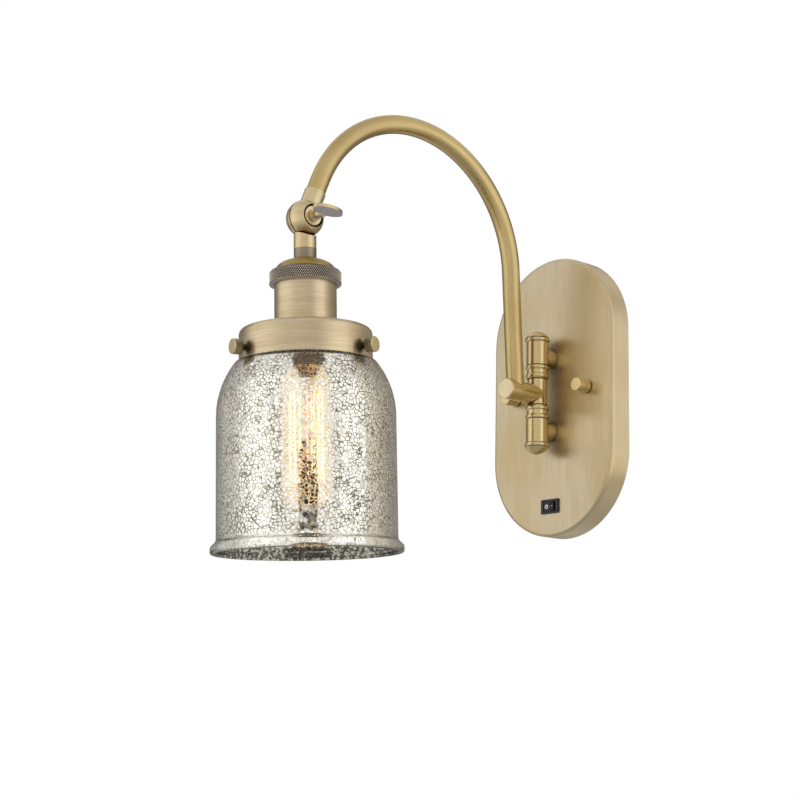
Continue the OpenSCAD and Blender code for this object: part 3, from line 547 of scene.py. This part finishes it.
# The glass's inner face, in millimetres: radii, and places down the head's axis
NECK_R, NECK_TOP, NECK_END = 36.5, 84.0, 89.0
THROAT_R, THROAT_MID, THROAT_S = 3.5, 40.0, 93.4
SHOULDER_R, SHOULDER_MID, SHOULDER_S = 52.7, 0.8, 128.63
WALL_R, FLARE_S, FLARE_R, FLARE_SPREAD = 53.5, 204.5, 6.7, 1.08
RIM = ((56.6, -211.0), (57.0, -212.6), (57.7, -213.4), (58.5, -213.5))
SKIN = 0.3      # how deep the film lies in the wall
WALL_STEPS = 16


def build_film(bm):
    """The silvered skin inside the wall of the glass, near its inner face, from the neck to the rim."""
    flare_r = FLARE_R - SKIN
    neck = [(NECK_R + SKIN, -NECK_TOP), (NECK_R + SKIN, -NECK_END)]
    throat = arc((THROAT_MID, -THROAT_S), THROAT_R - SKIN, 180, 262, 6)
    shoulder = arc((SHOULDER_MID, -SHOULDER_S), SHOULDER_R + SKIN, 37.5, 0, 24)
    wall = [(WALL_R + SKIN, -(SHOULDER_S + (FLARE_S - SHOULDER_S) * i / WALL_STEPS))
            for i in range(1, WALL_STEPS + 1)]
    flare = [(WALL_R + SKIN + flare_r * FLARE_SPREAD * (1 - math.cos(a)),
              -FLARE_S - flare_r * math.sin(a))
             for a in (math.radians(degrees) for degrees in range(8, 49, 8))]
    lathe(bm, neck + throat + shoulder + wall + flare + list(RIM), closed=False, count=192)


def tube(bm, points, radius, sides=6):
    """A thin round wire along points in millimetres."""
    turns = [2 * math.pi * k / sides for k in range(sides)]
    rings = []
    for i, point in enumerate(points):
        ahead = (points[min(i + 1, len(points) - 1)] - points[max(i - 1, 0)]).normalized()
        side = ahead.cross(Vector((0.31, 0.2, 0.93))).normalized()
        other = ahead.cross(side)
        ring = [point + side * radius * math.cos(a) + other * radius * math.sin(a) for a in turns]
        rings.append([bm.verts.new(spot * MM) for spot in ring])
    for low, high in zip(rings, rings[1:]):
        join_rings(bm, low, high)
    bm.faces.new(rings[0])
    bm.faces.new(rings[-1])


# Glowing wire: places down the head's axis, its radius round the stem and how many legs it has
CAGE_TOP, CAGE_END, CAGE_R, CAGE_LEGS = 113.0, 168.0, 10.6, 16
LEG_STEPS, LEG_SWAY, WIRE_R = 8, 0.25, 0.2


def build_wire(bm):
    points = []
    for i in range(CAGE_LEGS):
        a = 2 * math.pi * (i + 0.5) / CAGE_LEGS
        rise = (CAGE_END, CAGE_TOP) if i % 2 else (CAGE_TOP, CAGE_END)
        for k in range(LEG_STEPS + 1):
            s = rise[0] + (rise[1] - rise[0]) * k / LEG_STEPS
            sway = LEG_SWAY * math.sin(k * 2.1 + i)
            points.append(Vector(((CAGE_R + sway) * math.cos(a), (CAGE_R + sway) * math.sin(a), -s)))
    tube(bm, points, WIRE_R)


# Marks on the rocker, in millimetres
MARK_RISE = 0.06
RING_OUTER, RING_INNER = 1.55, 0.7
DASH_HALF, DASH_R = 0.95, 0.3


def build_ring_mark(bm):
    """Flat ring, raised a little."""
    rows = [(RING_OUTER, 0.0), (RING_OUTER, MARK_RISE), (RING_INNER, MARK_RISE), (RING_INNER, 0.0)]
    lathe(bm, rows, count=40)


def build_dash_mark(bm):
    """Short rounded bar."""
    outline = arc((DASH_HALF, 0.0), DASH_R, -90, 90, 6)
    outline += [(-x, -y) for x, y in outline]
    low = [bm.verts.new((x * MM, y * MM, 0)) for x, y in outline]
    high = [bm.verts.new((x * MM, y * MM, MARK_RISE * MM)) for x, y in outline]
    bm.faces.new(high)
    bm.faces.new(low[::-1])
    join_rings(bm, low, high)


# ---- studio ----

def around(azimuth, elevation=0.0):
    """Direction from the lamp, azimuth counted from the camera towards its right."""
    away = -CAMERA_AHEAD.copy()
    away.z = 0
    away.normalize()
    turned = Matrix.Rotation(math.radians(azimuth), 3, "Z") @ away
    lift = math.radians(elevation)
    return turned * math.cos(lift) + Vector((0, 0, math.sin(lift)))


# The softboxes: width and height, distance, elevation in degrees and radiance
SOFTBOX_SIZE, SOFTBOX_AWAY, SOFTBOX_LIFT, SOFTBOX_RADIANCE = (0.9, 1.5), 1.3, 12, 1.15


def make_softbox(name, azimuth):
    """A softbox that faces the lamp; reflections don't see it."""
    direction = around(azimuth, SOFTBOX_LIFT)
    data = bpy.data.lights.new(name, "AREA")
    data.shape = "RECTANGLE"
    data.size, data.size_y = SOFTBOX_SIZE
    data.energy = SOFTBOX_RADIANCE * math.pi * math.prod(SOFTBOX_SIZE)
    light = bpy.data.objects.new(name, data)
    light.visible_glossy = False
    light.visible_transmission = False
    light.matrix_world = (Matrix.Translation(LAMP_MIDDLE + direction * SOFTBOX_AWAY)
                          @ direction.to_track_quat("Z", "Y").to_matrix().to_4x4())
    bpy.context.scene.collection.objects.link(light)


def stage_mesh(name, points, faces, material, seen_by=None):
    """A stage object; seen_by lists the only rays that see it, out of "glossy" and "transmission"."""
    mesh = bpy.data.meshes.new(name)
    mesh.from_pydata([tuple(p) for p in points], [], faces)
    mesh.materials.append(material)
    made = bpy.data.objects.new(name, mesh)
    bpy.context.scene.collection.objects.link(made)
    if seen_by:
        made.visible_camera = False
        made.visible_diffuse = False
        made.visible_glossy = "glossy" in seen_by
        made.visible_transmission = "transmission" in seen_by
        made.visible_volume_scatter = False
        made.visible_shadow = False


def stage_wall(name, start, end, low, high, material, seen_by):
    """An upright stage object between two places (x, y) and two heights."""
    points = [(*start, low), (*end, low), (*end, high), (*start, high)]
    stage_mesh(name, points, [(0, 1, 2, 3)], material, seen_by)


def even_glow(name, tone, one_sided=False):
    """A glow of one colour; a one-sided one can be seen through from the back."""
    material, g = new_material(name)
    shader = g.node("Emission", Color=(*tone, 1), Strength=1.0)
    if one_sided:
        clear = g.node("BsdfTransparent", Color=(1, 1, 1, 1))
        shader = g.mix_shaders(g.geometry("Backfacing"), shader, clear)
    material.cycles.emission_sampling = "NONE"
    finish_material(g, shader)
    return material


# Azimuth in degrees and brightness of the studio all round, as the metal shows it and the glass does
TENT = ((-180, 0.2), (-150, 0.22), (-126, 0.26), (-110, 0.62), (-98, 1.0), (-85, 1.06), (-70, 1.1),
        (-58, 1.02), (-45, 0.88), (-30, 0.78), (0, 0.75), (10, 0.7), (20, 0.68), (30, 0.84), (42, 1.08),
        (52, 1.2), (68, 1.2), (80, 1.06), (94, 1.0), (101, 0.72), (110, 0.4), (122, 0.25), (150, 0.2),
        (180, 0.2))
GLASS_TENT = ((-180, 0.5), (-141, 0.5), (-123, 0.62), (-105, 0.66), (-97, 0.74), (-86, 1.1),
              (-76, 1.28), (-66, 1.44), (-57, 1.5), (-48, 1.4), (-38, 1.2), (-30, 1.1), (30, 1.08),
              (38, 1.1), (48, 1.3), (60, 1.36), (75, 1.26), (85, 1.0), (95, 0.7), (107, 0.62),
              (138, 0.5), (180, 0.5))
# Heights of the rows of cards in metres, and how bright each row is
TENT_ROWS = ((-0.55, 0.3, 1.03), (0.3, 0.5, 0.98), (0.5, 0.8, 0.92), (0.8, 1.3, 0.86))
GLASS_TENT_ROWS = ((-0.55, 1.3, 1.0),)
WIDEST_CARD = 15    # degrees, where the brightness stays the same
STEPS_OF_CHANGE = 3
RING_SIDES = 32


def make_tent(name, table, rows, radius, seen_by):
    """Cards all round the lamp that only reflections see."""
    for i, ((a0, level0), (a1, level1)) in enumerate(zip(table, table[1:])):
        steps = max(1, round((a1 - a0) / WIDEST_CARD)) if level0 == level1 else STEPS_OF_CHANGE
        for k in range(steps):
            b0, b1 = a0 + (a1 - a0) * k / steps, a0 + (a1 - a0) * (k + 1) / steps
            level = level0 + (level1 - level0) * (k + 0.5) / steps
            start, end = (tuple((LAMP_MIDDLE + around(b) * radius).xy) for b in (b0, b1))
            for r, (low, high, factor) in enumerate(rows):
                card = f"{name}_{i}_{k}_{r}"
                stage_wall(card, start, end, low, high, even_glow(card, (level * factor,) * 3), seen_by)


def make_rings(name, height, radii, levels):
    """Flat grey rings above or below the lamp that only the metal's reflections see."""
    count = RING_SIDES
    for i, (inner, outer, level) in enumerate(zip(radii, radii[1:], levels)):
        spots = [LAMP_MIDDLE + around(360 * k / count) * radius
                 for radius in (inner, outer) for k in range(count)]
        points = [(spot.x, spot.y, height) for spot in spots]
        faces = [(k, (k + 1) % count, count + (k + 1) % count, count + k) for k in range(count)]
        stage_mesh(f"{name}_{i}", points, faces, even_glow(f"{name}_{i}", (level,) * 3), ("glossy",))


def make_card(name, middle, turn, rows, distance, tone):
    """A card that only the glass shows, from rows of half its width and its elevation in degrees."""
    points = [middle + around(turn + side * half, elevation) * distance
              for half, elevation in rows for side in (-1, 1)]
    faces = [(2 * i, 2 * i + 1, 2 * i + 3, 2 * i + 2) for i in range(len(rows) - 1)]
    stage_mesh(name, points, faces, even_glow(name, tone), ("transmission",))


# The flag between head and plate: its plane, its heights, where its strips meet and how bright they are
FLAG_Y, FLAG_LOW, FLAG_HIGH = -0.165, -0.17, 0.09
FLAG_EDGES = (-0.13, 0.0, 0.02, 0.04, 0.055, 0.065, 0.08, 0.1, 0.125)
FLAG_LEVELS = (0.24, 0.29, 0.37, 0.42, 0.5, 0.62, 0.76, 0.9)
FLAG_TINT = (1, 0.95, 0.86)
FLAG_SEEN_BY = ("glossy", "transmission")


def make_flag():
    """Dark strips that the head's reflections see, and that are clear from the plate's side."""
    for i, (x0, x1, level) in enumerate(zip(FLAG_EDGES, FLAG_EDGES[1:], FLAG_LEVELS)):
        name = f"right_flag_{i}"
        glow = even_glow(name, tuple(share * level for share in FLAG_TINT), one_sided=True)
        stage_wall(name, (x0, FLAG_Y), (x1, FLAG_Y), FLAG_LOW, FLAG_HIGH, glow, FLAG_SEEN_BY)


DAYLIGHT = 0.6      # what the world gives to surfaces that don't mirror it


def make_world():
    world = bpy.data.worlds.new("studio")
    bpy.context.scene.world = world
    world.use_nodes = True
    g = Graph(world.node_tree)
    path = g.tree.nodes.new("ShaderNodeLightPath")
    seen = g.math("MAXIMUM", path.outputs["Is Camera Ray"], path.outputs["Is Glossy Ray"])
    seen = g.math("MAXIMUM", seen, path.outputs["Is Transmission Ray"])
    strength = g.node("MapRange", Value=seen, To_Min=DAYLIGHT, To_Max=1.0).outputs[0]
    background = g.node("Background", Color=(1, 1, 1, 1), Strength=strength)
    output = g.tree.nodes.new("ShaderNodeOutputWorld")
    g.tree.links.new(background.outputs[0], output.inputs[0])


FLOOR_HALF, FLOOR_Z = 1.5, -0.6


def make_floor():
    material, g = new_material("pale_floor")
    tone = g.mix(g.noise(g.point(), 3.0), (0.8, 0.8, 0.8, 1), (0.84, 0.84, 0.84, 1))
    finish_material(g, g.node("BsdfPrincipled", Base_Color=tone, Roughness=0.9))
    corners = ((-1, -1), (1, -1), (1, 1), (-1, 1))
    points = [(x * FLOOR_HALF, y * FLOOR_HALF, FLOOR_Z) for x, y in corners]
    stage_mesh("floor", points, [(0, 1, 2, 3)], material)


# ---- the looks of each node ----

def dress(material, *names):
    for name in names:
        data = NODES[name].data
        data.materials.clear()
        data.materials.append(material)


BRASS = colour(222, 203, 168)
PALE_BRASS = colour(222, 204, 156)
BRONZE = colour(138, 128, 116)
Z_UP = (0, 0, 1)
OUT = (0, -1, 0)
SIDE = (1, 0, 0)
BARREL_DROP = Vector((0, 0, -0.0018))
KNOB_X, KNOB_Z = 0.035, 0.0015

head_grain = turned_grain(BALL, HEAD_UP)
pin_grain = turned_grain(HINGE, Z_UP)
barrel_grain = turned_grain(HINGE + BARREL_DROP, OUT)
swivel_grain = turned_grain(BALL, SIDE)

# The plate's gap darkening reaches 3 cm, which paints shade on it round the hinge and the knobs
brass_plate = brushed_metal("brass_plate", colour(219, 202, 169), straight_grain(Z_UP), rough=0.33,
                            marks=0.3, tarnish_and_shade=0.75, crevice=0.03, warm=0.7, cloud_scale=14.0)
brass_head = brushed_metal("brass_head", BRASS, head_grain, rough=0.3, marks=1.3, warm=0.15)
# A darker, more olive brass for the dome: painted shade, for the darker surroundings it reflects
dome_brass_painted_darker = brushed_metal("dome_brass_painted_darker", colour(180, 152, 90), head_grain, rough=0.36, marks=0.6,
                           tarnish_and_shade=0.8, crevice=0.006)
brass_pin = brushed_metal("brass_pin", colour(222, 200, 150), pin_grain, rough=0.2, marks=0.2,
                          tarnish_and_shade=1.0, crevice=0.0045, deep=(44, 32, 16))
brass_barrel = brushed_metal("brass_barrel", colour(239, 221, 180), barrel_grain, rough=0.3, marks=0.4)
brass_arm = brushed_metal("brass_arm", colour(208, 184, 130), arm_grain, rough=0.26, marks=0.5,
                          tarnish_and_shade=0.6)
brass_swivel = brushed_metal("brass_swivel", colour(224, 205, 162), swivel_grain, rough=0.25, marks=0.3,
                             tarnish_and_shade=0.95, stretch=0.25)
# The wing's underside gets a dull grey: a painted reflection of the grey below it
brass_wing = brushed_metal("brass_wing", colour(226, 206, 162), swivel_grain, rough=0.25, marks=0.3,
                           tarnish_and_shade=0.8, stretch=0.2, under=(0, 0, -1))
bronze_head = brushed_metal("bronze_head", colour(162, 149, 130), head_grain, rough=0.34, marks=0.7,
                            tarnish_and_shade=0.8, bright=1.45)
bronze_pin = brushed_metal("bronze_pin", shade(BRONZE, 0.4), pin_grain, rough=0.4, marks=0.5,
                           tarnish_and_shade=0.9)
zinc = moulded("zinc", colour(186, 188, 192), rough=0.36, metallic=1.0)
green_plate = moulded("green_plating", colour(72, 118, 66), rough=0.38, metallic=0.8)
plain_brass = moulded("socket_brass", colour(222, 194, 132), rough=0.3, metallic=1.0, cloud_size=0.008)
black_plastic = moulded("black_plastic", colour(34, 34, 37), rough=0.42, grain_size=0.0005)
black_gloss = moulded("black_gloss", colour(26, 26, 29), rough=0.26, grain_size=0.0006)
resin = moulded("dark_resin", colour(66, 48, 38), rough=0.38)
fibre = moulded("fibre", colour(38, 32, 28), rough=0.8, grain_size=0.0003, depth=0.0001)
white_paint = moulded("white_paint", colour(236, 236, 232), rough=0.5)
grey_paint = moulded("grey_paint", colour(176, 176, 176), rough=0.5)
shade_glass = clear_glass("shade_glass", colour(250, 250, 247), rough=0.01)
film = silver_film("silver_film")
envelope = clear_glass("envelope", colour(255, 248, 232), rough=0.03, glow=colour(255, 226, 170),
                       strength=0.36)
stem = clear_glass("stem_glass", colour(214, 150, 96), rough=0.25)
wire = glow_wire("filament", tone=(1.0, 0.72, 0.4, 1), strength=12.0)

dress(brass_plate, "backplate")
for side, name in ((-1, "knob_left"), (1, "knob_right")):
    knob_grain = turned_grain((side * KNOB_X, 0, KNOB_Z), OUT)
    brass_knob = brushed_metal("brass_" + name, colour(238, 217, 164), knob_grain, rough=0.28,
                               marks=0.4)
    dress(brass_knob, name)
dress(brass_pin, "upper_knuckle", "lower_knuckle", "upper_finial", "lower_finial", "hinge_tee")
dress(brass_barrel, "barrel_cap")
dress(bronze_pin, "hinge_washers")
dress(brass_arm, "arm_tube")
dress(brass_swivel, "arm_swivel_half", "neck_swivel_half", "swivel_bushing")
dress(brass_wing, "wing_nut")
dress(brass_head, "socket_cup", "fitter_collar")
dress(dome_brass_painted_darker, "socket_dome")
dress(bronze_head, "neck_ring")
dress(zinc, "mounting_bracket", "mounting_studs", "hinge_pin", "post_nuts", "switch_terminals",
      "swivel_stud", "socket_nipple", "retaining_ring")
dress(green_plate, "ground_screw")
dress(plain_brass, "screw_shell", "centre_contact", "bulb_cap")
dress(black_plastic, "switch_housing")
dress(black_gloss, "switch_rocker")
dress(fibre, "swivel_washer")
dress(resin, "lampholder")
dress(shade_glass, "glass_shade")
dress(envelope, "bulb_glass")
dress(stem, "bulb_stem")

# The collar's lower end face gets a dull grey: a painted reflection of the grey below it
knurl = knurled_metal("bronze_knurl", BRONZE, BALL, -HEAD_UP,
                      radii=(KNURL_R - DIAMOND_DEPTH, KNURL_R - 0.06),
                      band=(BAND_TOP - 0.1, BAND_END + 0.1),
                      edge=(BAND_END + 0.12, BAND_END + 0.36, colour(214, 188, 120)),
                      under=colour(176, 172, 178), dull=0.9)
ring = new_piece("knurled_collar", build_knurled_ring, "head", knurl,
                 smooth_degrees=25, place=HEAD)
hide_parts("knurled_ring")

for who, turn in (("right", 20), ("back", 140), ("left", 260)):
    place = (HEAD @ Matrix.Rotation(math.radians(turn), 4, "Z")
             @ Matrix.Translation((0, 0, -THUMB_S * MM)) @ Matrix.Rotation(math.pi / 2, 4, "Y"))
    axis = (place.to_3x3() @ Vector((0, 0, 1))).normalized()
    metal = knurled_metal("brass_thumb_" + who, colour(104, 94, 74), place.translation, axis,
                          radii=(THUMB_R - RIDGE_DEPTH, THUMB_R - 0.02),
                          band=(THUMB_HEAD + 0.6, THUMB_END - 0.9),
                          edge=(THUMB_END - 0.85, THUMB_END + 1.0, PALE_BRASS),
                          under=PALE_BRASS, dull=0.0)
    screw = new_piece("knurled_screw_" + who, build_thumbscrew, who + "_thumbscrew",
                      metal, smooth_degrees=30, place=place)
    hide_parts("thumbscrew_" + who)

glowing = new_piece("looped_wire", build_wire, "head", wire, smooth_degrees=60, place=HEAD)
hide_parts("bulb_filament")

new_piece("silver_skin", build_film, "head", film, smooth_degrees=60, place=HEAD)

# The rocker, in millimetres: half its width, how far its face dips in the middle, how high it stands
# there, and how far its marks are from there
ROCKER_HALF, ROCKER_DIP, ROCKER_RISE, MARK_X = 5.2, 0.7, 1.2, 2.9
ROCK, PIVOT = math.radians(8), Vector((0, -0.0173, -0.0802))
ROCKER = Matrix.Translation(PIVOT) @ Matrix.Rotation(-ROCK, 4, "Z")
for name, side, builder, paint in (("mark_ring", -1, build_ring_mark, white_paint),
                                   ("mark_dash", 1, build_dash_mark, grey_paint)):
    tip = side * math.atan2(ROCKER_DIP, ROCKER_HALF)
    lift = ROCKER_RISE + ROCKER_DIP * MARK_X / ROCKER_HALF
    place = (ROCKER @ Matrix.Translation((side * MARK_X * MM, -lift * MM, 0))
             @ Matrix.Rotation(-tip, 4, "Z") @ Matrix.Rotation(math.pi / 2, 4, "X"))
    new_piece(name, builder, "rocker", paint, smooth_degrees=40, place=place)

bpy.context.scene.view_settings.view_transform = "Standard"
make_camera()
make_world()
make_floor()
make_tent("tent", TENT, TENT_ROWS, radius=1.7, seen_by=("glossy",))
make_tent("glass_tent", GLASS_TENT, GLASS_TENT_ROWS, radius=1.6, seen_by=("transmission",))
make_rings("lid", height=1.3, radii=(0.02, 0.6, 1.15, 1.68), levels=(0.64, 0.74, 0.84))
make_rings("ground", height=-0.57, radii=(0.02, 0.7, 1.2), levels=(0.4, 0.62))
make_flag()
make_softbox("softbox_left", azimuth=-72)
make_softbox("softbox_right", azimuth=72)
# Cards that only the glass's reflections see: painted dark reflections, a near-black one in front and
# brown ones above and below
make_card("front_card", middle=Vector((0, -0.234, -0.08)), turn=4.0,
          rows=((11.7, 1.35), (11.7, 6.2)), distance=1.15, tone=(0.012, 0.009, 0.006))
make_card("top_card", middle=Vector((0, -0.236, -0.03)), turn=2.5,
          rows=((10, 40), (18, 50), (30, 59), (48, 68), (62, 76), (80, 84)), distance=1.2,
          tone=(0.1, 0.055, 0.025))
make_card("low_card", middle=Vector((0, -0.236, -0.125)), turn=6.0,
          rows=((14, -20), (24, -30), (38, -44), (50, -60), (66, -76)), distance=0.45,
          tone=(0.055, 0.03, 0.014))
